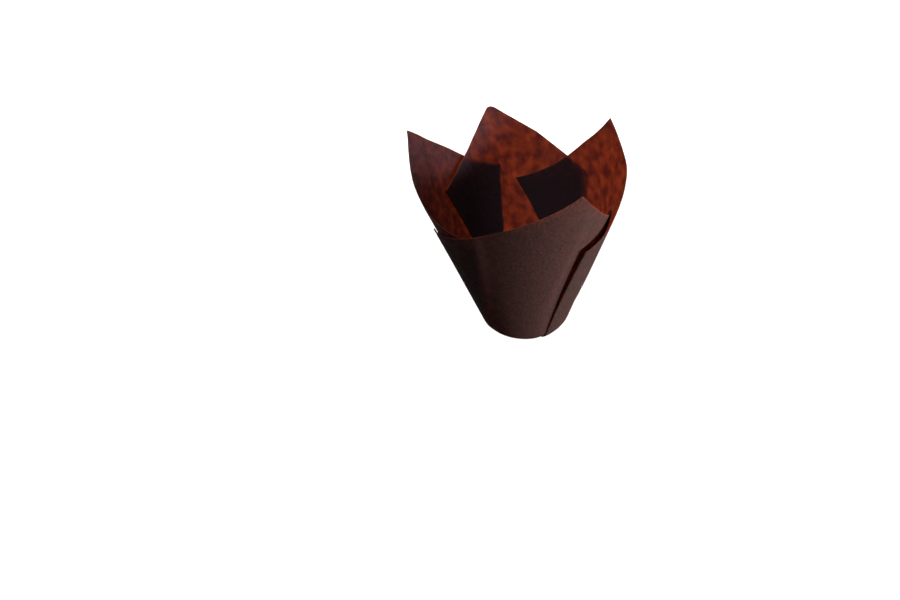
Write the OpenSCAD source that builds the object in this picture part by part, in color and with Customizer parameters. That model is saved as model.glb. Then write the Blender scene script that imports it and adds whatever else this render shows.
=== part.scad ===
// Tulip cupcake liner: one square of greaseproof paper pressed into a round cup.
// Each side of the square is taken up by one knife pleat, and each corner stands up as a petal.
// The sheet is worked out ray by ray: a distance from the middle of the cup gives the height
// and the radius on the wall, and an arc along the sheet gives the turn round the cup.
// Lengths are millimetres, angles are degrees, +Z is up, and the origin is the middle of the base.
// Turns round the cup start at the front, -Y, and run anticlockwise as seen from above.
// Petals and pleats are counted the same way from the front one, and pleat n follows petal n.

/* [Sheet] */
// Side of the square sheet before it is pressed
sheet_side = 160; // [140:1:190]
// Thickness of the paper
paper_t = 0.1; // [0.06:0.01:0.16]
// Middle of the cup, measured from the middle of the sheet: towards petal 0, towards petal 1
sheet_offset = [0.1, 3.3]; // [-6:0.1:6]
// Radius of each corner of the sheet, where handling has blunted it
corner_r = [0, 0, 3, 0]; // [0:0.5:5]

/* [Cup] */
// Diameter of the flat part of the base
flat_d = 22.6; // [14:0.1:40]
// Radius of the rounded edge between base and wall
edge_r = 10; // [6:0.1:14]
// Angle of the wall from upright, just above the rounded edge
wall_angle = 18.1; // [15:0.1:32]
// How fast the wall turns back towards upright, in degrees for each millimetre up the wall
wall_curl = 0.02; // [0:0.002:0.3]
// How far the rim sits off the middle of the base, level with the middle of a side
rim_shift = 3.7; // [0:0.1:8]
// Which way the rim sits off, as a turn round the cup
rim_shift_to = 32.8; // [-180:0.1:180]
// How far the rim is pulled out of round, level with the middle of a side
rim_oval = 1.2; // [0:0.1:4]
// Which way the rim is widest, as a turn round the cup
rim_oval_to = -23.6; // [-90:0.1:90]
// How far the rim is pulled out towards a square, level with the middle of a side
rim_square = 1.3; // [0:0.1:3]
// Which way one corner of that square lies, as a turn round the cup
rim_square_to = 23.7; // [-45:0.1:45]

/* [Pleats] */
// Where each pleat's outer fold leaves the base, as a turn round the cup
pleat_at = [25.6, 116.3, 202.4, 293.8]; // [0:0.1:360]
// How far each outer fold has drifted round the cup when it is level with the middle of a side
pleat_drift = [8.4, 10.9, -6.9, 3.2]; // [-12:0.1:12]
// Paper taken up by each pleat low on the cup, against an even share of 1
pleat_share = [1.10, 0.94, 1.02, 0.87]; // [0.7:0.01:1.3]
// Paper taken up by each pleat level with the middle of a side, against the other pleats there
pleat_share_rim = [0.79, 0.94, 0.93, 0.57]; // [0.5:0.01:1.3]
// How far each pleat lies from the middle of its side of the sheet
pleat_shift = [0.8, 10.3, 1.4, -6.3]; // [-12:0.1:12]
// Clear gap between the layers of a pleat, low on the cup
gap_low = 0.16; // [0.1:0.01:0.4]
// Clear gap between the layers of each pleat, level with the middle of a side
gap_rim = [1.1, 0.5, 1.0, 0.4]; // [0.1:0.01:1.2]
// Width of the soft step where the paper comes down off a pleat's stack
step_w = 5; // [2:0.5:8]

/* [Petals] */
// How far the tip of each petal leans outwards
tip_lean = [1.0, -7.9, 0.5, 5.1]; // [-10:0.1:14]
// How far the tip of each petal leans sideways, towards the petal after it
tip_sideways = [-1.2, -2.8, 4.3, 3.0]; // [-8:0.1:8]
// Half-width of the leaning part of each petal, as a turn round the cup
lean_spread = [31.5, 32.7, 33.3, 29.5]; // [20:0.1:45]

/* [Hidden] */

paper_colour = [0.27, 0.14, 0.10];

// Number of mesh steps along a fold, across a lap, across the free paper, and up the wall
fold_steps = 3;
lap_steps = 5;
free_steps = 2;
wall_steps = 9;
// Mesh rings on the rounded edge, as shares of the way round it
edge_turns = [0, 0.17, 0.27, 0.36, 0.45, 0.54, 0.63, 0.74, 0.87, 1];

// Least width of a pleat's middle layer and least turn of its folds, where the pleat begins
seed_w = 0.16;
seed_turn = 1;
// How far above the middle of a side the pleats' shares go on changing, with 1 level with it
share_most = 1.3;
// The most that a fold drifts in all, against its drift level with the middle of a side
drift_most = 1.6;
// How sharply the rim's shift and the petals' lean grow up the wall
sway_power = 1.5;
lean_power = 2;
// Most of a petal's width that its two laps may take
lap_most = 0.9;
// Flat beside each lap: in bend radii, and its most as a share of the free width
beside_bends = 4;
beside_most = 0.1;
// Most of the free width that one soft step may take
step_most = 0.3;
// Columns near a petal's tip, as shares of the way from the petal's edge to the tip
tip_gather = [0, 0.5, 0.7, 0.94];
tip_back = [0, 0.06, 0.3, 0.5, 1];
// Passes that bring a column to the cut edge, and the least facing of a side that can cut it
edge_passes = 24;
least_facing = 0.2;
// A bend below this many degrees counts as straight
straight = 0.001;

petals = 4;
quarter = 360 / petals;
flat_r = flat_d / 2;
half_side = sheet_side / 2;
edge_turn = 90 - wall_angle;
wall_d = flat_r + rad(edge_r * edge_turn);
wall_r = flat_r + edge_r * sin(edge_turn);
wall_z = edge_r * (1 - cos(edge_turn));
lean_from = 0.7 * half_side;
sideways_from = 0.95 * half_side;
fold_top = 1.12 * half_side;

function rad(a) = a * PI / 180;
function deg(a) = a * 180 / PI;
function mix(a, b, f) = a + (b - a) * f;
function clamp(v, most = 1) = max(0, min(most, v));
function ease(f) = clamp(f) * clamp(f) * (3 - 2 * clamp(f));
function sum(list) = list * [for (i = list) 1];
function pick(list, j) = list[(j + petals) % petals];
function near(a, about) = a + 360 * round((about - a) / 360);

// The wall's profile at distance d along the paper: [radius, height, angle from upright]
function profile(d) = d <= flat_r ? [d, 0, 90] : d <= wall_d ? on_edge(d) : on_wall(d - wall_d);
function on_edge(d) = let (t = deg((d - flat_r) / edge_r))
    [flat_r + edge_r * sin(t), edge_r * (1 - cos(t)), 90 - t];
function on_wall(q) =
    let (half = wall_curl * q / 2, chord = abs(half) < straight ? q : q * sin(half) / rad(half))
    [wall_r + chord * sin(wall_angle - half), wall_z + chord * cos(wall_angle - half),
     wall_angle - 2 * half];
function radius(d) = profile(d)[0];

// The flat sheet: distance and turn of a corner, and distance to the cut edge at a turn
function ray(at) = [cos(at), sin(at)];
function corner(k) = half_side * sqrt(2) * ray(quarter * k) - sheet_offset;
function corner_d(k) = norm(corner(k));
function corner_at(k) = near(atan2(corner(k)[1], corner(k)[0]), quarter * k);
function side_at(j) = quarter * (j + 0.5);
function side_d(j) = half_side - sheet_offset * ray(side_at(j));
function straight_d(at) = min([for (j = [0 : petals - 1]) let (facing = cos(at - side_at(j)))
    if (facing > least_facing) side_d(j) / facing]);
function arc_d(k, at) =
    let (r = corner_r[k], m = corner(k) - r * sqrt(2) * ray(quarter * k), along = m * ray(at))
    along + sqrt(max(0, r * r - m * m + along * along));
function cut_d(at) = let (d = straight_d(at), k = (round(at / quarter) + petals) % petals)
    norm(d * ray(at) - corner(k)) < corner_r[k] ? arc_d(k, at) : d;

// Each pleat at distance d: how far its folds have turned, and the width of its middle layer
function up_side(d, most = 1) = clamp((d - wall_d) / (half_side - wall_d), most);
function gap(j, d) = mix(gap_low, pick(gap_rim, j), up_side(d));
function bend_r(j, d) = (paper_t + gap(j, d)) / 2;
function bend_l(j, d) = PI * bend_r(j, d);
function share(j, d) = mix(pick(pleat_share, j), pick(pleat_share_rim, j), up_side(d, share_most));
function shares(d) = sum([for (j = [0 : petals - 1]) share(j, d)]);
function spare(j, d) = 2 * PI * share(j, d) / shares(d) * (d - radius(d));
function fold_turn(j, d) = max(seed_turn, 180 * sqrt(clamp(spare(j, d) / (2 * bend_l(j, d)))));
function lap_w(j, d) = seed_w + max(0, spare(j, d) / 2 - bend_l(j, d));
function pleat_l(j, d) = 2 * bend_l(j, d) + lap_w(j, d);

// A pleat's section at arc s along it: [place along the wall, place out from it, heading]
function bend_at(l, turn, s) = let (h = turn * s / l, r = l / rad(turn))
    [r * sin(h), r * (1 - cos(h)), h];
function pleat_end(j, d) =
    let (l = bend_l(j, d), w = lap_w(j, d), turn = fold_turn(j, d), b = bend_at(l, turn, l))
    [2 * b[0] + w * cos(turn), 2 * b[1] + w * sin(turn)];
function pleat_section(j, d, s) =
    let (l = bend_l(j, d), w = lap_w(j, d), turn = fold_turn(j, d), b = bend_at(l, turn, l),
         end = pleat_end(j, d), back = bend_at(l, turn, 2 * l + w - s))
    s <= l ? bend_at(l, turn, s)
    : s <= l + w ? [b[0] + (s - l) * cos(turn), b[1] + (s - l) * sin(turn), turn]
    : [end[0] - back[0], end[1] - back[1], back[2]];
function stack_h(j, d) = pleat_end(j, d)[1];

// Where each pleat starts and ends, round the cup and round the flat sheet
function drift(j, d) = pick(pleat_drift, j) * clamp((d - wall_r) / (half_side - wall_r), drift_most);
function pleat_to(j, d) = pick(pleat_at, j) + 360 * floor(j / petals) + drift(j, d);
function pleat_from(j, d) = pleat_to(j, d) - deg(pleat_end(j, d)[0] / radius(d));
function flat_mid(j) = side_at(j) + deg(pick(pleat_shift, j) / half_side);
function flat_from(j, d) = flat_mid(j) - deg(pleat_l(j, d) / 2 / d);
function flat_to(j, d) = flat_mid(j) + deg(pleat_l(j, d) / 2 / d);

// Knots across petal k, as shares of its width: the two laps, the soft steps off them, and the
// middle between. Up to fold_top they follow the folds, and from there they gather to the tip.
function petal_l(k, d) = rad(pleat_from(k, d) - pleat_to(k - 1, d)) * radius(d);
function tip_share(k) = let (d = corner_d(k), from = flat_to(k - 1, d))
    (corner_at(k) - from) / (flat_from(k, d) - from);
tip_shares = [for (k = [0 : petals - 1]) tip_share(k)];
function fold_knots(k, d) =
    let (l = petal_l(k, d), both = lap_w(k - 1, d) + lap_w(k, d),
         fit = min(1, lap_most * l / both) / l, a = lap_w(k - 1, d) * fit, b = lap_w(k, d) * fit,
         free = 1 - a - b, step = min(step_w / l, step_most * free),
         lo = a + beside(k - 1, d, l, free), hi = 1 - b - beside(k, d, l, free))
    [0, a, lo, lo + step, (lo + hi) / 2, hi - step, hi, 1 - b, 1];
function beside(j, d, l, free) = min(beside_bends * bend_r(j, d) / l, beside_most * free);
function tip_knots(k) = let (tip = tip_shares[k])
    concat([for (f = tip_gather) tip * f], [for (f = tip_back) mix(tip, 1, f)]);
function over_folds(k, d) = max(0, d - fold_top) / (corner_d(k) - fold_top);
function knots(k, d) = mix(fold_knots(k, min(d, fold_top)), tip_knots(k), over_folds(k, d));

// Columns of the mesh: [petal, stretch, share of the stretch], with the stretches across
// the petal first, and then the three across the pleat after it
petal_steps = [lap_steps, 1, 1, free_steps, free_steps, 1, 1, lap_steps];
pleat_steps = [fold_steps, lap_steps, fold_steps];
pleat_n = len(petal_steps);
tip_n = pleat_n / 2;
steps = concat(petal_steps, pleat_steps);
columns = [for (k = [0 : petals - 1]) for (n = [0 : len(steps) - 1])
    for (i = [0 : steps[n] - 1]) [k, n, i / steps[n]]];
function is_tip(c) = c[1] == tip_n && c[2] == 0;

// A column at distance d: [turn round the cup, place out from the wall, heading, turn on the flat]
function at_column(c, d) = c[1] < pleat_n ? on_petal(c[0], c[1], c[2], d)
    : on_pleat(c[0], c[1] - pleat_n, c[2], d);
function on_petal(k, n, f, d) =
    let (kn = knots(k, d), x = mix(kn[n], kn[n + 1], f),
         up = stack_h(k - 1, d) / 2 * (1 - ease((x - kn[2]) / (kn[3] - kn[2]))),
         down = stack_h(k, d) / 2 * ease((x - kn[5]) / (kn[6] - kn[5])))
    [mix(pleat_to(k - 1, d), pleat_from(k, d), x) + sideways(k, d, x), up - down, 0,
     mix(flat_to(k - 1, d), flat_from(k, d), x)];
function on_pleat(k, n, f, d) =
    let (l = bend_l(k, d), w = lap_w(k, d), at = [0, l, l + w, 2 * l + w],
         s = mix(at[n], at[n + 1], f), p = pleat_section(k, d, s))
    [pleat_from(k, d) + deg(p[0] / radius(d)), p[1] - stack_h(k, d) / 2, p[2],
     flat_from(k, d) + deg(s / d)];

// Distance at which a column meets the cut edge of the sheet
function edge_d(c, d, n = edge_passes) = n < 1 ? d
    : edge_d(c, (d + cut_d(at_column(c, d)[3])) / 2, n - 1);

// How far the rim and the petals leave the round wall, at a turn and at distance d
function sway(turn, d) = pow(max(0, (d - flat_r) / (half_side - flat_r)), sway_power)
    * (rim_shift * cos(turn - rim_shift_to) + rim_oval * cos(2 * (turn - rim_oval_to))
       + rim_square * cos(4 * (turn - rim_square_to)));
tips_d = [for (k = [0 : petals - 1]) corner_d(k)];
tips_at = [for (k = [0 : petals - 1])
    mix(pleat_to(k - 1, tips_d[k]), pleat_from(k, tips_d[k]), tip_shares[k])];
function lean_up(k, d, from) = pow(max(0, (d - from) / (corner_d(k) - from)), lean_power);
function lean_at(k, turn) = exp(-pow(near(turn - tips_at[k], 0) / lean_spread[k], 2));
function lean(turn, d) = d <= lean_from ? 0
    : sum([for (k = [0 : petals - 1]) tip_lean[k] * lean_at(k, turn) * lean_up(k, d, lean_from)]);
function sideways(k, d, x) = d <= sideways_from ? 0 :
    let (kn = fold_knots(k, min(d, fold_top)), laps = 1 - over_folds(k, d), mid = knots(k, d)[4],
         from = kn[2] * laps, to = 1 - (1 - kn[6]) * laps,
         free = clamp(min((x - from) / (mid - from), (to - x) / (to - mid))))
    deg(tip_sideways[k] * lean_up(k, d, sideways_from) * sin(90 * free) / radius(d));

// A point of the paper, on its outer face for side 1 and on its inner face for side -1
function point(c, d, side) =
    let (p = profile(d), q = at_column(c, d), a = q[0] - 90,
         out = [cos(p[2]) * cos(a), cos(p[2]) * sin(a), -sin(p[2])], along = [-sin(a), cos(a), 0],
         off = q[1] + sway(q[0], d) + lean(q[0], d), face = cos(q[2]) * out - sin(q[2]) * along)
    [p[0] * cos(a), p[0] * sin(a), p[1] + paper_t / 2] + off * out + side * paper_t / 2 * face;

// Rings of the mesh, from the flat base to the cut edge
rings = [for (t = edge_turns) mix(flat_r, wall_d, t)];
ring_n = len(rings) + wall_steps;
column_n = len(columns);
column_edge = [for (c = columns) is_tip(c) ? cut_d(corner_at(c[0])) : edge_d(c, half_side)];
function ring_d(i, r) = r < len(rings) ? rings[r]
    : mix(wall_d, column_edge[i], (r - len(rings) + 1) / wall_steps);

// The skins: points of the outer face for side 1 and of the inner face for side -1
function skin(side) = concat([[0, 0, (1 - side) * paper_t / 2]],
    [for (r = [0 : ring_n - 1]) for (i = [0 : column_n - 1]) point(columns[i], ring_d(i, r), side)]);

// Faces: the base as a fan, the wall as strips, and the cut edge between the two skins
function hub(skin_no) = skin_no * (1 + ring_n * column_n);
function id(skin_no, r, i) = hub(skin_no) + 1 + r * column_n + i % column_n;
function halves(a, b, c, d) = [[a, b, c], [a, c, d]];
function turned(faces) = [for (f = faces) [f[2], f[1], f[0]]];
function base_faces(s) = [for (i = [0 : column_n - 1]) [hub(s), id(s, 0, i), id(s, 0, i + 1)]];
function wall_faces(s) = [for (r = [0 : ring_n - 2]) for (i = [0 : column_n - 1])
    each halves(id(s, r, i), id(s, r + 1, i), id(s, r + 1, i + 1), id(s, r, i + 1))];
function skin_faces(s) = concat(base_faces(s), wall_faces(s));
function cut_faces() = let (r = ring_n - 1) [for (i = [0 : column_n - 1])
    each halves(id(0, r, i), id(1, r, i), id(1, r, i + 1), id(0, r, i + 1))];

// The whole liner as one folded sheet
module liner() {
    color(paper_colour)
        polyhedron(points = concat(skin(1), skin(-1)),
            faces = concat(skin_faces(0), turned(skin_faces(1)), cut_faces()));
}

liner();
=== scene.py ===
"""Dress a tulip cupcake liner: one square of brown greaseproof paper, folded into a cup."""
import logging
import math
from dataclasses import dataclass, field
from enum import Enum, IntEnum

import bpy
import numpy as np
from mathutils import Matrix, Vector


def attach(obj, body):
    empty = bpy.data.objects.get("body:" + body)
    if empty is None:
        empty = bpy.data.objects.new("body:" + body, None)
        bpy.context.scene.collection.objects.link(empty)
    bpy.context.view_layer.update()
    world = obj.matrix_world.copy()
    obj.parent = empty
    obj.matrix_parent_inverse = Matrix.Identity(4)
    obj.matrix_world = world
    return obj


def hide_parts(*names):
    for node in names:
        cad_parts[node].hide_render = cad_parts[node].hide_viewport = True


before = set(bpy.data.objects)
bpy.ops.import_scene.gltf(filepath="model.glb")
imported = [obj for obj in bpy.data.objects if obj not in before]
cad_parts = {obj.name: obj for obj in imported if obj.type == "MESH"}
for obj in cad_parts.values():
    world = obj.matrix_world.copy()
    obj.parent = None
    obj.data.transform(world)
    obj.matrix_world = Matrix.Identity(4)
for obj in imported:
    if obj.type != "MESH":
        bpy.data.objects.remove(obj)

Array = np.ndarray
Values = float | Array
LOG = logging.getLogger("cupcake_liner")
MM = 0.001
RIGHT_ANGLE = 90.0
HALF_TURN = 180.0
FULL_TURN = 360.0
PETALS = 4
QUARTER = FULL_TURN / PETALS
# How much longer a square's diagonal is than its side.
DIAGONAL = math.sqrt(2.0)
WHITE = "#ffffff"
# The sRGB curve: a straight stretch up to the knee, and a power above it.
SRGB_KNEE, SRGB_SLOPE, SRGB_OFFSET, SRGB_POWER = 0.04045, 12.92, 0.055, 2.4


class Face(Enum):
    """The two faces of the paper, with the side of its middle that each lies on."""

    OUTER = 1
    INNER = -1


class Knot(IntEnum):
    """The places across a petal at which its paper changes how it lies."""

    BEGIN = 0
    LAP_END = 1
    BEND_END = 2
    STEP_END = 3
    MIDDLE = 4
    STEP_BEGIN = 5
    BEND_BEGIN = 6
    LAP_BEGIN = 7
    END = 8


def mix(a: Values, b: Values, share: Values) -> Values:
    """Return the value that lies the given share of the way from a to b."""
    return a + (b - a) * share


def ease(share: Array) -> Array:
    """Return a share between 0 and 1 with a soft start and a soft end."""
    share = np.clip(share, 0.0, 1.0)
    return share * share * (3.0 - 2.0 * share)


def bell(away: Array, width: float) -> Array:
    """Return a smooth bump of height 1 that falls off over the given width."""
    return np.exp(-((away / width) ** 2))


def turn_apart(a: Values, b: Values) -> Values:
    """Return the turn from b to a in degrees, between -180 and 180."""
    return (a - b + HALF_TURN) % FULL_TURN - HALF_TURN


@dataclass(frozen=True)
class SquareSheet:
    """The flat square that the liner is pressed from, in millimetres.

    Turns on the sheet are degrees from the corner of petal 0, seen from the cup's middle.
    The offset is where the cup's middle lies on the square. A side is measured along a ray
    only where the ray faces it by at least least_facing, the cosine of the turn between them.
    """

    side: float = 160.0
    thickness: float = 0.1
    offset: tuple[float, float] = (0.1, 3.3)
    corner_radius: tuple[float, ...] = (0.0, 0.0, 3.0, 0.0)
    least_facing: float = 0.2

    @property
    def half(self) -> float:
        """Return half of the sheet's side."""
        return self.side / 2.0

    def corner(self, petal: int) -> Array:
        """Return a corner's place, measured from the middle of the cup."""
        turn = math.radians(QUARTER * petal)
        return self.half * DIAGONAL * np.array([math.cos(turn), math.sin(turn)]) - self.offset

    def corner_distance(self, petal: int) -> float:
        """Return how far a corner lies from the middle of the cup."""
        return float(np.linalg.norm(self.corner(petal)))

    def corner_turn(self, petal: int) -> float:
        """Return the turn at which a corner lies.

        Args:
            petal: Number of the petal that the corner belongs to.

        Returns:
            The turn in degrees, near the petal's quarter.
        """
        x, y = self.corner(petal)
        about = QUARTER * petal
        return about + float(turn_apart(math.degrees(math.atan2(y, x)), about))

    def side_turn(self, side: int) -> float:
        """Return the turn at which the middle of a side lies."""
        return QUARTER * (side + 0.5)

    def straight_distance(self, turn: Array) -> Array:
        """Return how far the nearest side of the square lies from the cup's middle.

        Args:
            turn: Turns on the flat sheet, in degrees.

        Returns:
            The distance along each turn, in millimetres.
        """
        nearest = np.full(np.shape(turn), np.inf)
        for side in range(PETALS):
            at = math.radians(self.side_turn(side))
            away = self.half - (self.offset[0] * math.cos(at) + self.offset[1] * math.sin(at))
            facing = np.cos(np.radians(turn) - at)
            reach = away / np.where(facing > self.least_facing, facing, 1.0)
            nearest = np.where(facing > self.least_facing, np.minimum(nearest, reach), nearest)
        return nearest

    def cut_distance(self, turn: Array) -> Array:
        """Return how far the cut edge lies from the cup's middle, with its corners rounded.

        Args:
            turn: Turns on the flat sheet, in degrees.

        Returns:
            The distance along each turn, in millimetres.
        """
        cut = self.straight_distance(turn)
        ray = np.stack([np.cos(np.radians(turn)), np.sin(np.radians(turn))], -1)
        for petal, radius in enumerate(self.corner_radius):
            corner, about = self.corner(petal), math.radians(QUARTER * petal)
            middle = corner - radius * DIAGONAL * np.array([math.cos(about), math.sin(about)])
            along = ray @ middle
            arc = along + np.sqrt(np.clip(radius**2 - middle @ middle + along**2, 0.0, None))
            near = np.linalg.norm(cut[..., None] * ray - corner, axis=-1) < radius
            cut = np.where(near, arc, cut)
        return cut


@dataclass(frozen=True)
class CupWall:
    """The cup that the sheet is pressed onto: flat base, rounded edge and curving wall.

    Lengths are millimetres. The wall's lean changes by wall_curl degrees in each of them. The
    rim lies off the middle, and is a little oval and a little square. Each of these has its
    size, and the turn in degrees that it points to.
    """

    flat_diameter: float = 22.6
    edge_radius: float = 10.0
    wall_angle: float = 18.1
    wall_curl: float = 0.02
    rim_shift: float = 3.7
    rim_shift_to: float = 32.8
    rim_oval: float = 1.2
    rim_oval_to: float = -23.6
    rim_square: float = 1.3
    rim_square_to: float = 23.7
    sway_power: float = 1.5

    @property
    def flat_radius(self) -> float:
        """Return the radius of the flat base."""
        return self.flat_diameter / 2.0

    @property
    def edge_turn(self) -> float:
        """Return how far the rounded edge turns up, in degrees."""
        return RIGHT_ANGLE - self.wall_angle

    @property
    def wall_start(self) -> float:
        """Return the distance along the paper at which the wall begins."""
        return self.flat_radius + math.radians(self.edge_radius * self.edge_turn)

    @property
    def wall_radius(self) -> float:
        """Return the radius of the cup at which the wall begins."""
        return self.flat_radius + self.edge_radius * math.sin(math.radians(self.edge_turn))

    def profile(self, distance: Values) -> tuple[Values, Values, Values]:
        """Return the wall's section at a distance from the middle along the paper.

        Args:
            distance: Distances in millimetres.

        Returns:
            Radius and height in millimetres, and the angle from upright in degrees.
        """
        turn = np.clip(distance - self.flat_radius, 0.0, None) / self.edge_radius
        turn = np.minimum(turn, math.radians(self.edge_turn))
        edge_z = self.edge_radius * (1.0 - np.cos(turn))
        up = np.clip(distance - self.wall_start, 0.0, None)
        half = np.radians(self.wall_curl * up / 2.0)
        chord = up * np.sinc(half / math.pi)
        lean = math.radians(self.wall_angle) - half
        radius = np.minimum(distance, self.flat_radius) + self.edge_radius * np.sin(turn)
        angle = RIGHT_ANGLE - np.degrees(turn + 2.0 * half)
        return radius + chord * np.sin(lean), edge_z + chord * np.cos(lean), angle

    def radius(self, distance: Values) -> Values:
        """Return the cup's radius at a distance along the paper."""
        return self.profile(distance)[0]

    def sway(self, turn: Values, distance: Values, half_side: float) -> Values:
        """Return how far the rim's shift and its want of roundness move the wall outwards.

        Args:
            turn: Turns round the cup, in degrees.
            distance: Distances from the middle, along the paper.
            half_side: The distance at which the whole of it is reached.

        Returns:
            The way outwards in millimetres, which is nothing on the base.
        """
        up = np.clip((distance - self.flat_radius) / (half_side - self.flat_radius), 0.0, None)
        # Round the rim, a shift has one lobe, an oval two and a square four.
        shift = self.rim_shift * np.cos(np.radians(turn - self.rim_shift_to))
        oval = self.rim_oval * np.cos(np.radians(2.0 * (turn - self.rim_oval_to)))
        square = self.rim_square * np.cos(np.radians(4.0 * (turn - self.rim_square_to)))
        return (shift + oval + square) * up**self.sway_power


@dataclass(frozen=True)
class KnifePleats:
    """The four pleats that take up the paper to spare, one on each side of the square.

    Each tuple has a value for each pleat. Low on the rounded edge, a pleat ends at the turn
    that at gives, and it has moved by drift where the middle of its side lies. Its share of
    the spare paper goes from share to share_rim, and shift is how far it lies off the middle
    of its side on the flat sheet.
    The gap between two layers goes from gap_low to gap_rim. Where a pleat begins, its lap is
    seed_width wide and its folds turn by seed_turn degrees, so that no face has a width of 0.
    """

    sheet: SquareSheet
    cup: CupWall
    at: tuple[float, ...] = (25.6, 116.3, 202.4, 293.8)
    drift: tuple[float, ...] = (8.4, 10.9, -6.9, 3.2)
    share: tuple[float, ...] = (1.10, 0.94, 1.02, 0.87)
    share_rim: tuple[float, ...] = (0.79, 0.94, 0.93, 0.57)
    share_most: float = 1.3
    shift: tuple[float, ...] = (0.8, 10.3, 1.4, -6.3)
    gap_low: float = 0.16
    gap_rim: tuple[float, ...] = (1.1, 0.5, 1.0, 0.4)
    step_width: float = 5.0
    seed_width: float = 0.16
    seed_turn: float = 1.0
    drift_most: float = 1.6

    def pick(self, values: tuple[float, ...], pleat: int) -> float:
        """Return a pleat's own value, where pleat -1 is the last one."""
        return values[pleat % PETALS]

    def up_side(self, distance: Values, most: float) -> Values:
        """Return how far up the wall a place lies: 1 is level with the middle of a side."""
        up = (distance - self.cup.wall_start) / (self.sheet.half - self.cup.wall_start)
        return np.clip(up, 0.0, most)

    def bend_length(self, pleat: int, distance: Values) -> Values:
        """Return the length of paper in the bend of one fold of a pleat."""
        gap = mix(self.gap_low, self.pick(self.gap_rim, pleat), self.up_side(distance, 1.0))
        return math.pi * (self.sheet.thickness + gap) / 2.0

    def share_at(self, pleat: int, distance: Values) -> Values:
        """Return a pleat's share of the spare paper before the four are evened out."""
        low, high = self.pick(self.share, pleat), self.pick(self.share_rim, pleat)
        return mix(low, high, self.up_side(distance, self.share_most))

    def spare(self, pleat: int, distance: Values) -> Values:
        """Return the length of paper that a pleat takes up."""
        even = 2.0 * math.pi / sum(self.share_at(other, distance) for other in range(PETALS))
        return even * self.share_at(pleat, distance) * (distance - self.cup.radius(distance))

    def fold_turn(self, pleat: int, distance: Values) -> Values:
        """Return how far a pleat's folds have turned, up to 180 degrees when shut."""
        filled = self.spare(pleat, distance) / (2.0 * self.bend_length(pleat, distance))
        return np.maximum(self.seed_turn, HALF_TURN * np.sqrt(np.clip(filled, 0.0, 1.0)))

    def lap(self, pleat: int, distance: Values) -> Values:
        """Return the width of a pleat's middle layer."""
        spare = self.spare(pleat, distance) / 2.0 - self.bend_length(pleat, distance)
        return self.seed_width + np.maximum(0.0, spare)

    def bend(self, length: Values, turn: Values, along: Values) -> tuple[Values, Values, Values]:
        """Return a place on a round bend.

        Args:
            length: Length of paper in the whole bend.
            turn: Degrees that the whole bend turns by.
            along: Arc from where the bend begins.

        Returns:
            Place along the wall, place out from it, and heading in degrees.
        """
        heading = turn * along / length
        radius = length / np.radians(turn)
        angle = np.radians(heading)
        return radius * np.sin(angle), radius * (1.0 - np.cos(angle)), heading

    def end(self, pleat: int, distance: Values) -> tuple[Values, Values]:
        """Return where a pleat's section ends.

        Args:
            pleat: Number of the pleat.
            distance: Distances from the middle, along the paper.

        Returns:
            Place along the wall, and place out from it.
        """
        length, turn = self.bend_length(pleat, distance), self.fold_turn(pleat, distance)
        along, out, _ = self.bend(length, turn, length)
        lap, angle = self.lap(pleat, distance), np.radians(turn)
        return 2.0 * along + lap * np.cos(angle), 2.0 * out + lap * np.sin(angle)

    def section(self, pleat: int, distance: Values, along: Values) -> tuple[Values, Values, Values]:
        """Return a place on a pleat's section.

        Args:
            pleat: Number of the pleat.
            distance: Distances from the middle, along the paper.
            along: Arc along the section from where the pleat begins.

        Returns:
            Place along the wall, place out from it, and heading in degrees.
        """
        length, turn = self.bend_length(pleat, distance), self.fold_turn(pleat, distance)
        lap, angle = self.lap(pleat, distance), np.radians(turn)
        bend_x, bend_y, _ = self.bend(length, turn, length)
        end_x, end_y = self.end(pleat, distance)
        first = self.bend(length, turn, np.minimum(along, length))
        last = self.bend(length, turn, np.clip(2.0 * length + lap - along, 0.0, length))
        flat = np.clip(along - length, 0.0, lap)
        middle = (bend_x + flat * np.cos(angle), bend_y + flat * np.sin(angle), turn)
        far = (end_x - last[0], end_y - last[1], last[2])
        where = [along <= length, along <= length + lap]
        return tuple(np.select(where, [a, b], c) for a, b, c in zip(first, middle, far))

    def stack(self, pleat: int, distance: Values) -> Values:
        """Return how far a pleat's outer layer stands off its inner one."""
        return self.end(pleat, distance)[1]

    def ends_at(self, pleat: int, distance: Values) -> Values:
        """Return the turn round the cup at which a pleat ends.

        Args:
            pleat: Number of the pleat, where -1 is the last one, a whole turn back.
            distance: Distances from the middle, along the paper.

        Returns:
            The turn in degrees.
        """
        start = self.cup.wall_radius
        up = np.clip((distance - start) / (self.sheet.half - start), 0.0, self.drift_most)
        whole = FULL_TURN * (pleat // PETALS)
        return self.pick(self.at, pleat) + whole + self.pick(self.drift, pleat) * up

    def begins_at(self, pleat: int, distance: Values) -> Values:
        """Return the turn round the cup at which a pleat begins."""
        wide = self.end(pleat, distance)[0] / self.cup.radius(distance)
        return self.ends_at(pleat, distance) - np.degrees(wide)

    def flat_span(self, pleat: int, distance: Values) -> tuple[Values, Values]:
        """Return where a pleat lies on the flat sheet.

        Args:
            pleat: Number of the pleat.
            distance: Distances from the middle, along the paper.

        Returns:
            The turns on the flat sheet at which the pleat begins and ends, in degrees.
        """
        shift = np.degrees(self.pick(self.shift, pleat) / self.sheet.half)
        middle = self.sheet.side_turn(pleat) + shift
        length = 2.0 * self.bend_length(pleat, distance) + self.lap(pleat, distance)
        half = np.degrees(length / 2.0 / distance)
        return middle - half, middle + half


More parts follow.
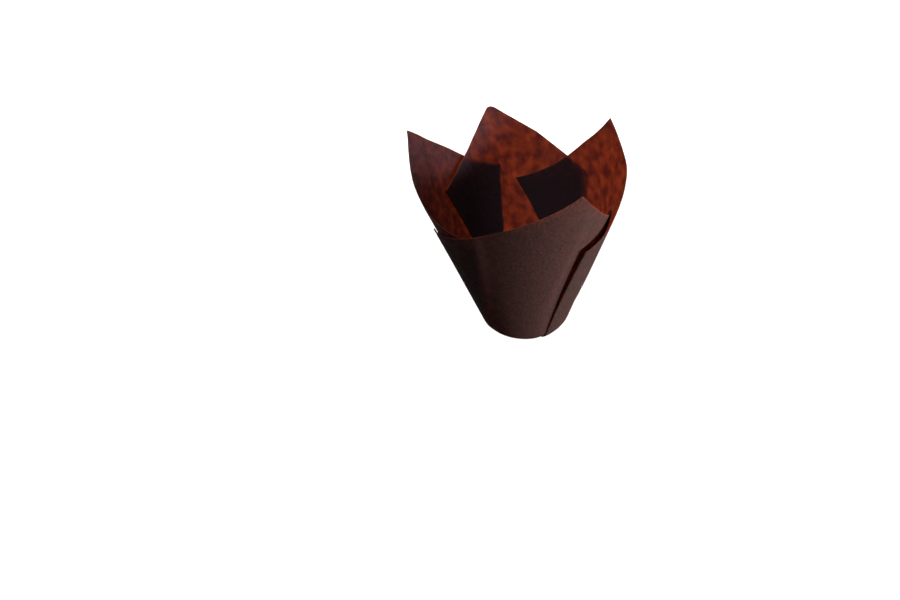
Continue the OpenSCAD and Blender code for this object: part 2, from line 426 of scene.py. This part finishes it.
@dataclass(frozen=True)
class Petals:
    """The four corners of the square, which stand up as petals and lean outwards.

    Lean and sideways are millimetres at each tip, and spread is how wide each lean falls off,
    in degrees. Above the folds, the knots across a petal gather to its tip: tip_before and
    tip_after are shares of the way up to the tip and on from it.
    """

    lean: tuple[float, ...] = (1.0, -7.9, 0.5, 5.1)
    spread: tuple[float, ...] = (31.5, 32.7, 33.3, 29.5)
    sideways: tuple[float, ...] = (-1.2, -2.8, 4.3, 3.0)
    lean_power: float = 2.0
    lean_from: float = 0.7
    sideways_from: float = 0.95
    lap_most: float = 0.9
    beside_bends: float = 4.0
    beside_most: float = 0.1
    step_most: float = 0.3
    fold_top: float = 1.12
    tip_before: tuple[float, ...] = (0.0, 0.5, 0.7, 0.94)
    tip_after: tuple[float, ...] = (0.0, 0.06, 0.3, 0.5, 1.0)


@dataclass(frozen=True)
class MeshSteps:
    """How finely the paper is divided for the render.

    The first four count the steps between a petal's knots, from a side to the middle. Fold is
    for the bend of a fold, wall and edge are rings, and base holds shares of the flat radius.
    """

    lap: int = 9
    beside: int = 2
    step: int = 5
    free: int = 8
    fold: int = 8
    wall: int = 66
    edge: int = 14
    edge_passes: int = 12
    base: tuple[float, ...] = (0.3, 0.6, 0.85)


@dataclass
class PaperGrid:
    """The paper's columns and rings, with a value for each place where they cross.

    Turn and out say where the place lies round the cup and off its wall, and heading says how
    the paper is turned there. Flat is its turn on the flat sheet. Edge has one value for each
    column, the distance of the cut edge.
    """

    distance: Array
    turn: Array
    out: Array
    heading: Array
    flat: Array
    edge: Array


@dataclass
class PaperMesh:
    """Points and faces of the folded paper, with what its finish reads at each point."""

    points: Array
    faces: list[tuple[int, ...]]
    sheet_mm: Array
    cut_mm: Array
    inside: Array


@dataclass
class FoldedLiner:
    """The square sheet pressed into a cup with four pleats and four standing petals.

    A column of the mesh runs from the base to the cut edge. It is named by its petal, by the
    stretch that it lies in, across the petal and on over the pleat after it, and by its share
    of the way across that stretch.
    """

    sheet: SquareSheet = field(default_factory=SquareSheet)
    cup: CupWall = field(default_factory=CupWall)
    petals: Petals = field(default_factory=Petals)
    steps: MeshSteps = field(default_factory=MeshSteps)
    pleats: KnifePleats = field(init=False)
    petal_steps: tuple[int, ...] = field(init=False)
    pleat_steps: tuple[int, ...] = field(init=False)
    tip_shares: list[float] = field(init=False)
    tip_turns: list[float] = field(init=False)

    def __post_init__(self) -> None:
        """Fold the pleats from the same sheet and cup, and find each petal's tip."""
        self.pleats = KnifePleats(self.sheet, self.cup)
        petal_steps = (self.steps.lap, self.steps.beside, self.steps.step, self.steps.free)
        self.petal_steps = petal_steps + petal_steps[::-1]
        self.pleat_steps = (self.steps.fold, self.steps.lap, self.steps.fold)
        self.tip_shares = [self.tip_share(petal) for petal in range(PETALS)]
        self.tip_turns = [self.tip_turn(petal) for petal in range(PETALS)]

    def tip_share(self, petal: int) -> float:
        """Return how far across its petal a corner of the sheet lies.

        Args:
            petal: Number of the petal.

        Returns:
            The share of the way across, on the flat sheet.
        """
        distance = self.sheet.corner_distance(petal)
        begins = self.pleats.flat_span(petal - 1, distance)[1]
        ends = self.pleats.flat_span(petal, distance)[0]
        return float((self.sheet.corner_turn(petal) - begins) / (ends - begins))

    def tip_turn(self, petal: int) -> float:
        """Return where a petal's tip stands.

        Args:
            petal: Number of the petal.

        Returns:
            The turn round the cup, in degrees.
        """
        distance = self.sheet.corner_distance(petal)
        begins = self.pleats.ends_at(petal - 1, distance)
        ends = self.pleats.begins_at(petal, distance)
        return float(mix(begins, ends, self.tip_shares[petal]))

    def fold_knots(self, petal: int, distance: Array) -> Array:
        """Return the knots across a petal where it follows its folds.

        Args:
            petal: Number of the petal.
            distance: Distances from the middle, along the paper.

        Returns:
            One row for each Knot, as shares of the petal's width.
        """
        pleats, petals = self.pleats, self.petals
        turn = pleats.begins_at(petal, distance) - pleats.ends_at(petal - 1, distance)
        width = np.radians(turn) * self.cup.radius(distance)
        first, last = pleats.lap(petal - 1, distance), pleats.lap(petal, distance)
        fit = np.minimum(1.0, petals.lap_most * width / (first + last)) / width
        a, b = first * fit, last * fit
        free = 1.0 - a - b
        from_lap, to_lap = (np.minimum(petals.beside_bends * pleats.bend_length(pleat, distance)
                                       / math.pi / width, petals.beside_most * free)
                            for pleat in (petal - 1, petal))
        step = np.minimum(pleats.step_width / width, petals.step_most * free)
        low, high = a + from_lap + step, 1.0 - b - to_lap - step
        knots = [0.0 * a, a, a + from_lap, low, (low + high) / 2.0, high, 1.0 - b - to_lap, 1.0 - b]
        return np.stack([*knots, 1.0 + 0.0 * a])

    def knots(self, petal: int, distance: Array) -> Array:
        """Return the knots across a petal, which gather to its tip above the folds.

        Args:
            petal: Number of the petal.
            distance: Distances from the middle, along the paper.

        Returns:
            One row for each Knot, as shares of the petal's width.
        """
        low, up = self.above_folds(petal, distance)
        tip = self.tip_shares[petal]
        before = [tip * share for share in self.petals.tip_before]
        after = [mix(tip, 1.0, share) for share in self.petals.tip_after]
        return mix(self.fold_knots(petal, low), np.array(before + after)[:, None], up)

    def above_folds(self, petal: int, distance: Array) -> tuple[Array, Array]:
        """Return how distances lie to the top of the folds.

        Args:
            petal: Number of the petal.
            distance: Distances from the middle, along the paper.

        Returns:
            Each distance kept below the top, and its share of the way from there to the tip.
        """
        top = self.petals.fold_top * self.sheet.half
        low = np.minimum(distance, top)
        return low, (distance - low) / (self.sheet.corner_distance(petal) - top)

    def sideways(self, petal: int, at: Array, distance: Array) -> Array:
        """Return how far a petal leans round the cup, clear of its laps.

        Args:
            petal: Number of the petal.
            at: Share of the way across the petal.
            distance: Distances from the middle, along the paper.

        Returns:
            The turn in degrees.
        """
        low, up = self.above_folds(petal, distance)
        folds, middle = self.fold_knots(petal, low), self.knots(petal, distance)[Knot.MIDDLE]
        first = folds[Knot.BEND_END] * (1.0 - up)
        last = 1.0 - (1.0 - folds[Knot.BEND_BEGIN]) * (1.0 - up)
        free = np.minimum((at - first) / (middle - first), (last - at) / (last - middle))
        way = self.petals.sideways[petal] * np.sin(np.clip(free, 0.0, 1.0) * math.pi / 2.0)
        way = way * self.lean_up(petal, distance, self.petals.sideways_from)
        return np.degrees(way / self.cup.radius(distance))

    def across_petal(self, petal: int, stretch: int, share: float, distance: Array) -> Array:
        """Return the places of one column on a petal.

        Args:
            petal: Number of the petal.
            stretch: Knot that the column's stretch begins at.
            share: Share of the way across the stretch.
            distance: Distances from the middle, along the paper.

        Returns:
            Rows of turn, place out from the wall, heading and turn on the flat sheet.
        """
        knots = self.knots(petal, distance)
        at = mix(knots[stretch], knots[stretch + 1], share)
        before, after = petal - 1, petal
        rise = 1.0 - ease((at - knots[Knot.BEND_END]) / (knots[Knot.STEP_END] - knots[Knot.BEND_END]))
        fall = ease((at - knots[Knot.STEP_BEGIN]) / (knots[Knot.BEND_BEGIN] - knots[Knot.STEP_BEGIN]))
        out = self.pleats.stack(before, distance) * rise - self.pleats.stack(after, distance) * fall
        turn = mix(self.pleats.ends_at(before, distance), self.pleats.begins_at(after, distance), at)
        turn = turn + self.sideways(petal, at, distance)
        begins = self.pleats.flat_span(before, distance)[1]
        ends = self.pleats.flat_span(after, distance)[0]
        return np.stack([turn, out / 2.0, 0.0 * turn, mix(begins, ends, at)])

    def across_pleat(self, pleat: int, stretch: int, share: float, distance: Array) -> Array:
        """Return the places of one column on a pleat.

        Args:
            pleat: Number of the pleat.
            stretch: 0 for the first fold, 1 for the lap and 2 for the second fold.
            share: Share of the way across the stretch.
            distance: Distances from the middle, along the paper.

        Returns:
            Rows of turn, place out from the wall, heading and turn on the flat sheet.
        """
        length, lap = self.pleats.bend_length(pleat, distance), self.pleats.lap(pleat, distance)
        at = [0.0 * lap, length, length + lap, 2.0 * length + lap]
        along = mix(at[stretch], at[stretch + 1], share)
        round_cup, out, heading = self.pleats.section(pleat, distance, along)
        begins = self.pleats.begins_at(pleat, distance)
        turn = begins + np.degrees(round_cup / self.cup.radius(distance))
        flat = self.pleats.flat_span(pleat, distance)[0] + np.degrees(along / distance)
        return np.stack([turn, out - self.pleats.stack(pleat, distance) / 2.0, heading, flat])

    def columns(self) -> list[tuple[int, int, float]]:
        """Return every column of the mesh.

        Returns:
            Petal, stretch and share of each column, in order round the cup.
        """
        counts = self.petal_steps + self.pleat_steps
        return [(petal, stretch, i / count) for petal in range(PETALS)
                for stretch, count in enumerate(counts) for i in range(count)]

    def place(self, column: tuple[int, int, float], distance: Array) -> Array:
        """Return the places of one column.

        Args:
            column: Petal, stretch and share.
            distance: Distances from the middle, along the paper.

        Returns:
            Rows of turn, place out from the wall, heading and turn on the flat sheet.
        """
        petal, stretch, share = column
        if stretch < Knot.END:
            return self.across_petal(petal, stretch, share, distance)
        return self.across_pleat(petal, stretch - Knot.END, share, distance)

    def edge_distance(self, column: tuple[int, int, float]) -> float:
        """Return the distance at which a column meets the cut edge.

        Args:
            column: Petal, stretch and share.

        Returns:
            The distance in millimetres, found by steps that each go half of the way there.
        """
        petal, stretch, share = column
        if stretch == Knot.MIDDLE and share == 0.0:
            return float(self.sheet.cut_distance(np.array([self.sheet.corner_turn(petal)]))[0])
        distance = np.array([self.sheet.half])
        for _ in range(self.steps.edge_passes):
            *_, flat = self.place(column, distance)
            distance = (distance + self.sheet.cut_distance(flat)) / 2.0
        return float(distance[0])

    def lean_up(self, petal: int, distance: Array, begins: float) -> Array:
        """Return how much of a petal's lean is reached.

        Args:
            petal: Number of the petal.
            distance: Distances from the middle, along the paper.
            begins: Where the lean begins, as a share of half the sheet's side.

        Returns:
            The share of the lean at each distance: 1 is all, at the tip.
        """
        start = begins * self.sheet.half
        reach = self.sheet.corner_distance(petal) - start
        return np.clip((distance - start) / reach, 0.0, None) ** self.petals.lean_power

    def lean(self, turn: Array, distance: Array) -> Array:
        """Return how far the petals' lean moves the paper outwards.

        Args:
            turn: Turns round the cup, in degrees.
            distance: Distances from the middle, along the paper.

        Returns:
            The way outwards in millimetres.
        """
        total = np.zeros_like(distance)
        for petal in range(PETALS):
            near = bell(turn_apart(turn, self.tip_turns[petal]), self.petals.spread[petal])
            up = self.lean_up(petal, distance, self.petals.lean_from)
            total += self.petals.lean[petal] * near * up
        return total

    def lay_out(self) -> PaperGrid:
        """Return the paper's grid, with its rings closer together on the rounded edge.

        Returns:
            The grid, whose last ring is the cut edge.
        """
        columns, steps, cup = self.columns(), self.steps, self.cup
        base = [cup.flat_radius * share for share in steps.base]
        low = np.array(base + list(np.linspace(cup.flat_radius, cup.wall_start, steps.edge)))
        wall = np.arange(1, steps.wall + 1) / steps.wall
        edge = np.array([self.edge_distance(column) for column in columns])
        distance = np.empty((len(columns), len(low) + steps.wall))
        distance[:, :len(low)] = low
        distance[:, len(low):] = mix(cup.wall_start, edge[:, None], wall)
        places = np.stack([self.place(*pair) for pair in zip(columns, distance)], 1)
        return PaperGrid(distance, *places, edge)

    def points(self, grid: PaperGrid) -> Array:
        """Return the mesh's points.

        Args:
            grid: The paper's grid.

        Returns:
            Points in millimetres: each skin's middle and then its rings, the outer skin first.
        """
        radius, height, angle = self.cup.profile(grid.distance)
        sway = self.cup.sway(grid.turn, grid.distance, self.sheet.half)
        off = grid.out + sway + self.lean(grid.turn, grid.distance)
        # Turn 0 faces the front of the frame, which is -y.
        around, tilt = np.radians(grid.turn - RIGHT_ANGLE), np.radians(angle)
        head, half = np.radians(grid.heading), self.sheet.thickness / 2.0
        outward = np.stack([np.cos(tilt) * np.cos(around), np.cos(tilt) * np.sin(around),
                            -np.sin(tilt)], -1)
        along = np.stack([-np.sin(around), np.cos(around), 0.0 * around], -1)
        middle = np.stack([radius * np.cos(around), radius * np.sin(around), height + half], -1)
        middle = middle + off[..., None] * outward
        normal = np.cos(head)[..., None] * outward - np.sin(head)[..., None] * along
        skins = [middle + face.value * half * normal for face in Face]
        hubs = [np.array([[0.0, 0.0, (1 - face.value) * half]]) for face in Face]
        return np.concatenate([part for hub, skin in zip(hubs, skins)
                               for part in (hub, skin.transpose(1, 0, 2).reshape(-1, 3))])

    def build(self) -> PaperMesh:
        """Return the folded sheet as a closed mesh.

        Returns:
            The mesh in metres, with each point's place on the flat sheet, its distance from
            the cut edge, and whether it lies on the inner skin.
        """
        grid = self.lay_out()
        points, flat = self.points(grid), np.radians(grid.flat)
        paper = np.stack([grid.distance * np.cos(flat), grid.distance * np.sin(flat), 0.0 * flat], -1)
        cut = np.clip(grid.edge[:, None] - grid.distance, 0.0, None)
        inside = np.repeat([float(face is Face.INNER) for face in Face], len(points) // 2)
        return PaperMesh(points * MM, self.faces(*grid.distance.shape), self.both(paper, 0.0),
                         self.both(cut, self.sheet.half), inside)

    def both(self, values: Array, hub: float) -> Array:
        """Return values of the grid in the order of the mesh's points, on both skins.

        Args:
            values: A value or a vector for each place of the grid.
            hub: What each skin's middle has.

        Returns:
            The value or vector of each point.
        """
        rows = np.moveaxis(values, 0, 1).reshape(-1, *values.shape[2:])
        first = np.full((1, *values.shape[2:]), hub)
        return np.concatenate([first, rows, first, rows])

    def faces(self, column_count: int, ring_count: int) -> list[tuple[int, ...]]:
        """Return the mesh's faces: a fan and strips on both skins, and the cut edge.

        Args:
            column_count: Columns in the grid.
            ring_count: Rings in the grid.

        Returns:
            Each face's points, turned so that the face looks out of the paper.
        """
        skin_size = 1 + column_count * ring_count
        made: list[tuple[int, ...]] = []
        for skin in range(len(Face)):
            hub = skin * skin_size
            turned = slice(None, None, -1) if skin else slice(None)
            for i in range(column_count):
                j = (i + 1) % column_count
                made.append((hub, hub + 1 + i, hub + 1 + j)[turned])
                for ring in range(ring_count - 1):
                    low, high = hub + 1 + ring * column_count, hub + 1 + (ring + 1) * column_count
                    made.append((low + i, high + i, high + j, low + j)[turned])
        rim = 1 + (ring_count - 1) * column_count
        for i in range(column_count):
            j = (i + 1) % column_count
            made.append((rim + i, skin_size + rim + i, skin_size + rim + j, rim + j))
        return made


def linear(colour: str) -> tuple[float, float, float, float]:
    """Return an sRGB hex colour as linear values with an alpha of 1.

    Args:
        colour: A mark and six hex digits, such as #808080.

    Returns:
        Red, green, blue and alpha.
    """
    parts = [part / 255.0 for part in bytes.fromhex(colour[1:])]
    curve = [((part + SRGB_OFFSET) / (1.0 + SRGB_OFFSET)) ** SRGB_POWER for part in parts]
    return (*[part / SRGB_SLOPE if part <= SRGB_KNEE else high for part, high in zip(parts, curve)], 1.0)


def add_node(tree: bpy.types.NodeTree, kind: str, values: dict | None = None,
             links: dict | None = None, **settings: object) -> bpy.types.Node:
    """Add one node to a tree.

    Args:
        tree: The node tree.
        kind: The node's type name.
        values: Input values by socket name or number.
        links: Source sockets by input name or number.
        settings: Properties of the node itself.

    Returns:
        The new node.
    """
    node = tree.nodes.new(kind)
    for name, value in settings.items():
        setattr(node, name, value)
    for key, value in (values or {}).items():
        node.inputs[key].default_value = value
    for key, source in (links or {}).items():
        tree.links.new(source, node.inputs[key])
    return node


def spread(tree: bpy.types.NodeTree, source: bpy.types.NodeSocket, low: float,
           high: float) -> bpy.types.NodeSocket:
    """Add a node that spreads a value out to a share from 0 to 1.

    Args:
        tree: The node tree.
        source: The socket that gives the value.
        low: The value that becomes 0.
        high: The value that becomes 1.

    Returns:
        The socket that gives the share.
    """
    return add_node(tree, "ShaderNodeMapRange", {"From Min": low, "From Max": high},
                    {"Value": source}).outputs["Result"]


def blend(tree: bpy.types.NodeTree, share: bpy.types.NodeSocket, under: bpy.types.NodeSocket | str,
          over: str) -> bpy.types.NodeSocket:
    """Add a node that goes from one colour to another.

    Args:
        tree: The node tree.
        share: The socket that gives the share of the way.
        under: The colour at 0: a hex colour, or the socket that gives it.
        over: The hex colour at 1.

    Returns:
        The socket that gives the colour.
    """
    values, links = {"B": linear(over)}, {"Factor": share}
    if isinstance(under, str):
        values["A"] = linear(under)
    else:
        links["A"] = under
    return add_node(tree, "ShaderNodeMix", values, links, data_type="RGBA").outputs["Result"]


@dataclass(frozen=True)
class GreaseproofPaper:
    """Brown greaseproof paper, made from beaten pulp and pressed to a faint shine.

    It lets light through in soft clouds where the pulp lies thin. Its outside is a dull dark
    brown with fine specks, and its inside is plain and about as dark. A thin, lighter and redder
    band is painted along the cut edge on both faces, a painted glow that stands in for light
    shining through the rim. Both patterns lie on the flat sheet, so they follow the folds.
    """

    name: str = "greaseproof_paper"
    outside: str = "#221716"
    outside_light: str = "#553f3b"
    inside: str = "#2c2125"
    through: str = "#c87a45"
    through_dark: str = "#94502e"
    # painted glow: this lighter, redder colour along the cut edge stands in for light shining through
    # the rim
    cut: str = "#70392c"
    ior: float = 1.12
    roughness: float = 0.6
    cloud_mm: float = 4.5
    cloud_roughness: float = 0.55
    speck_mm: float = 0.65
    speck_roughness: float = 0.5
    noise_detail: float = 2.0
    noise_low: float = 0.32
    noise_high: float = 0.7
    grain_mm: float = 0.05
    grain_strength: float = 0.1
    # width in millimetres of the painted glow band along the cut edge
    cut_mm: float = 0.45
    let_through: float = 0.43

    def noise(self, tree: bpy.types.NodeTree, size_mm: float,
              roughness: float) -> bpy.types.NodeSocket:
        """Add a pattern that lies on the flat sheet.

        Args:
            tree: The node tree.
            size_mm: Size of the pattern's forms.
            roughness: How strong its finer forms are.

        Returns:
            The socket that gives the pattern.
        """
        sheet = add_node(tree, "ShaderNodeAttribute", attribute_name="sheet_mm").outputs["Vector"]
        values = {"Scale": 1.0 / size_mm, "Detail": self.noise_detail, "Roughness": roughness}
        return add_node(tree, "ShaderNodeTexNoise", values, {"Vector": sheet}).outputs["Fac"]

    def surface(self, tree: bpy.types.NodeTree, specks: bpy.types.NodeSocket) -> bpy.types.NodeSocket:
        """Add the nodes for the paper's surface colour, with a painted glow along its cut edge.

        Args:
            tree: The node tree.
            specks: The socket that gives the pattern of specks.

        Returns:
            The socket that gives the colour.
        """
        inner = add_node(tree, "ShaderNodeAttribute", attribute_name="inside").outputs["Fac"]
        cut = add_node(tree, "ShaderNodeAttribute", attribute_name="cut_mm").outputs["Fac"]
        specky = spread(tree, specks, self.noise_low, self.noise_high)
        outer = blend(tree, specky, self.outside, self.outside_light)
        sided = blend(tree, inner, outer, self.inside)
        # painted glow: near the cut edge the colour goes over to the cut colour, which stands in for
        # light shining through the rim
        return blend(tree, spread(tree, cut, self.cut_mm, 0.0), sided, self.cut)

    def build(self) -> bpy.types.Material:
        """Return the paper as a node material.

        Returns:
            The material: a dull surface, mixed with the light that comes through.
        """
        material = bpy.data.materials.new(self.name)
        material.use_nodes = True
        tree = material.node_tree
        tree.nodes.clear()
        clouds = self.noise(tree, self.cloud_mm, self.cloud_roughness)
        specks = self.noise(tree, self.speck_mm, self.speck_roughness)
        cloudy = spread(tree, clouds, self.noise_low, self.noise_high)
        light = blend(tree, cloudy, self.through_dark, self.through)
        grain = add_node(tree, "ShaderNodeBump", {"Strength": self.grain_strength,
                                                 "Distance": self.grain_mm * MM}, {"Height": specks})
        front = add_node(tree, "ShaderNodeBsdfPrincipled",
                         {"Roughness": self.roughness, "IOR": self.ior},
                         {"Base Color": self.surface(tree, specks), "Normal": grain.outputs["Normal"]})
        behind = add_node(tree, "ShaderNodeBsdfTranslucent", {},
                          {"Color": light, "Normal": grain.outputs["Normal"]})
        both = add_node(tree, "ShaderNodeMixShader", {"Fac": self.let_through},
                        {1: front.outputs[0], 2: behind.outputs[0]})
        add_node(tree, "ShaderNodeOutputMaterial", {}, {"Surface": both.outputs[0]})
        return material


@dataclass(frozen=True)
class StudioFloor:
    """A plain floor that shows white by its own light, like a light table.

    Its colour is grey, so that little of the lamps' light comes back from it.
    """

    colour: str = "#505050"
    roughness: float = 0.9
    glow: float = 1.0
    half_m: float = 4.0
    drop_mm: float = 0.05

    def build(self) -> bpy.types.Object:
        """Return the floor.

        Returns:
            The floor, whose own light falls on nothing else.
        """
        mesh = bpy.data.meshes.new("floor")
        sides = ((-1, -1), (1, -1), (1, 1), (-1, 1))
        mesh.from_pydata([(x * self.half_m, y * self.half_m, 0.0) for x, y in sides], [],
                         [tuple(range(len(sides)))])
        material = bpy.data.materials.new("matt_white_floor")
        material.use_nodes = True
        shader = material.node_tree.nodes["Principled BSDF"]
        shader.inputs["Base Color"].default_value = linear(self.colour)
        shader.inputs["Roughness"].default_value = self.roughness
        shader.inputs["Emission Color"].default_value = linear(WHITE)
        shader.inputs["Emission Strength"].default_value = self.glow
        mesh.materials.append(material)
        floor = bpy.data.objects.new("floor", mesh)
        floor.location.z = -self.drop_mm * MM
        bpy.context.collection.objects.link(floor)
        lit_by_floor = bpy.data.collections.new("lit_by_floor")
        lit_by_floor.objects.link(floor)
        floor.light_linking.receiver_collection = lit_by_floor
        return floor


@dataclass(frozen=True)
class SoftLight:
    """One soft box of the studio, aimed at the liner."""

    name: str
    watts: float
    size_m: tuple[float, float]
    at_m: tuple[float, float, float]
    aim_m: tuple[float, float, float] = (0.0, 0.0, 0.05)

    def build(self) -> bpy.types.Object:
        """Return the light.

        Returns:
            The light, pointing at the middle of the liner.
        """
        data = bpy.data.lights.new(self.name, "AREA")
        data.energy = self.watts
        data.shape = "RECTANGLE"
        data.size, data.size_y = self.size_m
        light = bpy.data.objects.new(self.name, data)
        light.location = self.at_m
        aim = Vector(self.aim_m) - light.location
        light.rotation_euler = aim.to_track_quat("-Z", "Y").to_euler()
        bpy.context.collection.objects.link(light)
        return light


@dataclass(frozen=True)
class Studio:
    """Faint white surroundings, the floor, four low strips round the liner and a light above.

    The strips stand near the floor, so that their light comes through the paper from outside
    and little of it falls on the inside of the cup.
    """

    surroundings: float = 0.08
    floor: StudioFloor = field(default_factory=StudioFloor)
    lights: tuple[SoftLight, ...] = (
        SoftLight("back_light", 5.4, (0.3, 0.06), (0.04, 0.48, 0.03)),
        SoftLight("left_light", 0.7, (0.2, 0.06), (-0.36, 0.25, 0.03)),
        SoftLight("right_light", 1.6, (0.2, 0.06), (0.45, -0.05, 0.03)),
        SoftLight("front_light", 11.5, (0.2, 0.06), (0.61, -0.37, 0.03)),
        SoftLight("top_light", 15.0, (0.6, 0.6), (-0.25, -0.35, 1.2)),
    )

    def build(self) -> None:
        """Make the surroundings, the floor and the lights."""
        world = bpy.data.worlds.new("studio")
        bpy.context.scene.world = world
        world.use_nodes = True
        background = world.node_tree.nodes["Background"]
        background.inputs["Color"].default_value = linear(WHITE)
        background.inputs["Strength"].default_value = self.surroundings
        self.floor.build()
        for light in self.lights:
            light.build()
        bpy.context.scene.view_settings.view_transform = "Standard"


@dataclass(frozen=True)
class PhotoCamera:
    """The camera, fitted to the photograph's 900 by 600 frame.

    The middle of the liner's base is seen at origin_px. The camera stands at the front.
    """

    frame_px: tuple[float, float] = (900.0, 600.0)
    origin_px: tuple[float, float] = (525.634, 319.43)
    elevation: float = 37.614
    distance_mm: float = 276.62
    focal_px: float = 558.425
    roll: float = -2.102
    sensor_mm: float = 36.0

    def build(self) -> bpy.types.Object:
        """Return the camera.

        Returns:
            The camera, made the scene's own.
        """
        data = bpy.data.cameras.new("photo_camera")
        data.sensor_width = self.sensor_mm
        data.lens = self.sensor_mm * self.focal_px / self.frame_px[0]
        camera = bpy.data.objects.new("photo_camera", data)
        rise = math.radians(self.elevation)
        back = Vector((0.0, -math.cos(rise), math.sin(rise)))
        right = Vector((1.0, 0.0, 0.0))
        aim = Matrix((right, back.cross(right), back)).transposed()
        across = self.origin_px[0] - self.frame_px[0] / 2.0
        down = self.origin_px[1] - self.frame_px[1] / 2.0
        seen = Vector((across, -down, -self.focal_px)).normalized()
        turn = seen.rotation_difference(Vector((0.0, 0.0, -1.0))).to_matrix()
        rolled = aim @ Matrix.Rotation(math.radians(self.roll), 3, "Z") @ turn
        camera.matrix_world = Matrix.Translation(back * self.distance_mm * MM) @ rolled.to_4x4()
        bpy.context.collection.objects.link(camera)
        bpy.context.scene.camera = camera
        return camera


@dataclass
class PaperLiner:
    """The liner's one visible piece: the folded sheet with its finish.

    An edge between two faces is sharp where they turn by more than sharp_from degrees.
    """

    form: FoldedLiner
    paper: GreaseproofPaper
    sharp_from: float = 50.0

    def build(self) -> bpy.types.Object:
        """Return the liner.

        Returns:
            The folded sheet, riding on the root body in place of the plain solid.
        """
        made = self.form.build()
        mesh = bpy.data.meshes.new("folded_paper")
        mesh.from_pydata(made.points.tolist(), [], made.faces)
        mesh.validate()
        sheet = mesh.attributes.new("sheet_mm", "FLOAT_VECTOR", "POINT")
        sheet.data.foreach_set("vector", made.sheet_mm.astype(np.float32).ravel())
        for name, values in (("cut_mm", made.cut_mm), ("inside", made.inside)):
            held = mesh.attributes.new(name, "FLOAT", "POINT")
            held.data.foreach_set("value", values.astype(np.float32).ravel())
        mesh.shade_smooth()
        mesh.set_sharp_from_angle(angle=math.radians(self.sharp_from))
        mesh.materials.append(self.paper.build())
        piece = bpy.data.objects.new("folded_paper", mesh)
        bpy.context.collection.objects.link(piece)
        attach(piece, "root")
        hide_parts("liner")
        return piece


def main() -> None:
    """Build the camera, the studio and the liner, in that order."""
    logging.basicConfig(level=logging.INFO, format="%(name)s: %(message)s")
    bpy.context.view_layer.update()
    PhotoCamera().build()
    Studio().build()
    piece = PaperLiner(FoldedLiner(), GreaseproofPaper()).build()
    LOG.info("%s: %d points, %d faces", piece.name, len(piece.data.vertices), len(piece.data.polygons))


if __name__ == "__main__":
    main()
